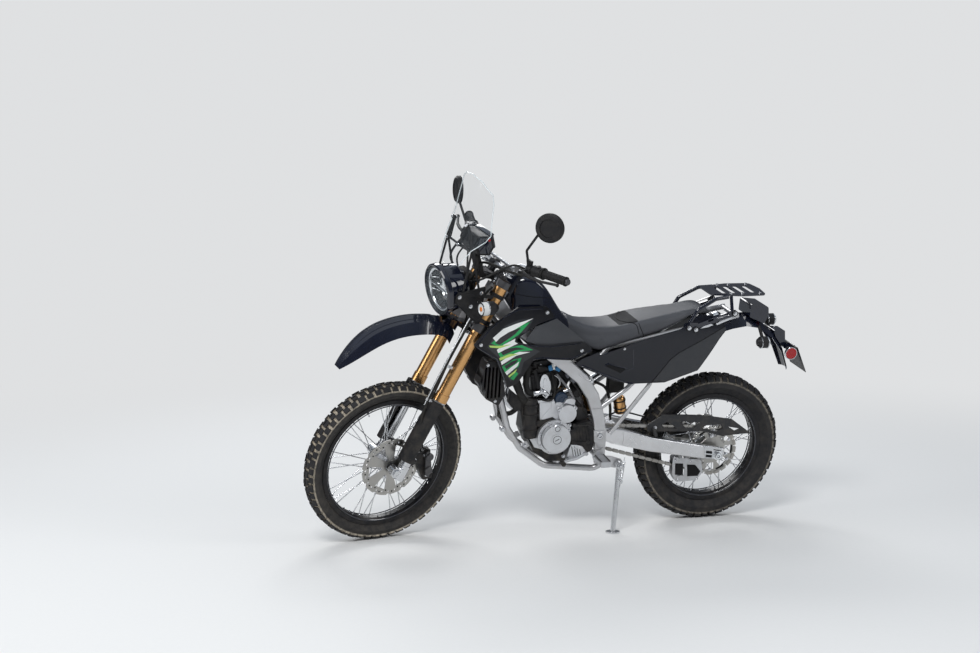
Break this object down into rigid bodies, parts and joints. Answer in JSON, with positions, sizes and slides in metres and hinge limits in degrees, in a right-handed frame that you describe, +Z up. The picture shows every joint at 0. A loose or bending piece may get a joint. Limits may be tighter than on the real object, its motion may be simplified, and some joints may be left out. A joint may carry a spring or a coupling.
{
  "type": "dual sport motorcycle",
  "caption": "Light single-cylinder trail motorcycle with road lamps, windshield and rear rack, leaning on its side stand with the bars turned left.",
  "frame": {"origin": "on the floor under the rear axle's middle as the motorcycle would stand upright, at the foot of its middle plane", "axes": "+X forward along the wheelbase, +Y to the rider's left, +Z up; the motorcycle leans to +Y on its side stand"},
  "size_m": [2.1727, 0.7993, 1.507],
  "materials": {
    "black_tyre": "matt",
    "black_rim": "satin",
    "bright_steel": "polished",
    "cast_alloy": "satin",
    "disc_steel": "brushed",
    "bronze": "satin",
    "black_plastic": "satin",
    "black_gloss": "gloss",
    "shroud": "gloss",
    "silver_paint": "satin",
    "black_metal": "satin",
    "rubber": "matt",
    "seat": "satin",
    "clear": "clear",
    "red_lens": "gloss",
    "signal": "gloss"
  },
  "bodies": {
    "chassis": {"main_frame": "silver_paint", "cradle": "silver_paint", "subframe": "silver_paint", "crankcase": "black_metal", "engine_covers": "cast_alloy", "cylinder": "black_metal", "radiators": "black_metal", "coolant_hoses": "rubber", "airbox": "black_plastic", "fuel_tank": "black_gloss", "seat": "seat", "tank_shrouds": "shroud", "tank_wings": "black_plastic", "rear_fender": "black_gloss", "number_plate": "black_metal", "side_reflector": "red_lens", "tail_light": "red_lens", "rear_rack": "black_metal", "rear_signals": "signal", "muffler": "bright_steel", "exhaust_pipe": "bright_steel", "side_covers": "black_plastic", "swingarm": "cast_alloy", "rear_shock": "black_metal", "chain": "disc_steel", "sprocket_cover": "black_plastic", "chain_guard": "black_plastic", "chain_guide": "cast_alloy", "footpegs": "cast_alloy", "foot_controls": "cast_alloy", "rear_caliper": "black_metal"},
    "steering": {"fork_sliders": "bright_steel", "fork_tubes": "bronze", "triple_clamps": "cast_alloy", "handlebar": "cast_alloy", "grips": "rubber", "bar_controls": "black_plastic", "mirrors": "black_plastic", "fork_guards": "black_plastic", "headlight": "black_plastic", "headlight_lens": "clear", "windshield_bracket": "black_plastic", "windshield": "clear", "instrument": "black_plastic", "front_fender": "black_gloss", "front_caliper": "black_metal", "front_signals": "signal", "brake_hose": "rubber"},
    "front_wheel": {"front_tyre": "black_tyre", "front_rim": "black_rim", "front_spokes": "bright_steel", "front_hub": "cast_alloy", "front_disc": "disc_steel"},
    "rear_wheel": {"rear_tyre": "black_tyre", "rear_rim": "black_rim", "rear_spokes": "bright_steel", "rear_hub": "cast_alloy", "rear_disc": "disc_steel", "rear_sprocket": "disc_steel"},
    "side_stand": {"side_stand": "cast_alloy"}
  },
  "joints": [
    {"name": "steering_turn", "type": "hinge", "parent": "chassis", "child": "steering", "pos_m": [1.03291, 0.1915, 0.99278], "axis": [-0.4445, 0.17, 0.8795], "range_deg": [-56.38, 27.62]},
    {"name": "front_wheel_turn", "type": "hinge", "parent": "steering", "child": "front_wheel", "pos_m": [1.42916, 0.08005, 0.3364], "axis": [-0.2225, 0.9301, -0.2922], "continuous": true},
    {"name": "rear_wheel_turn", "type": "hinge", "parent": "chassis", "child": "rear_wheel", "pos_m": [0.00062, 0.06225, 0.32411], "axis": [0, 0.9818, -0.1898], "continuous": true},
    {"name": "side_stand_fold", "type": "hinge", "parent": "chassis", "child": "side_stand", "pos_m": [0.44759, 0.18491, 0.28426], "axis": [0, 0.9818, -0.1898], "range_deg": [0, 95]}
  ]
}
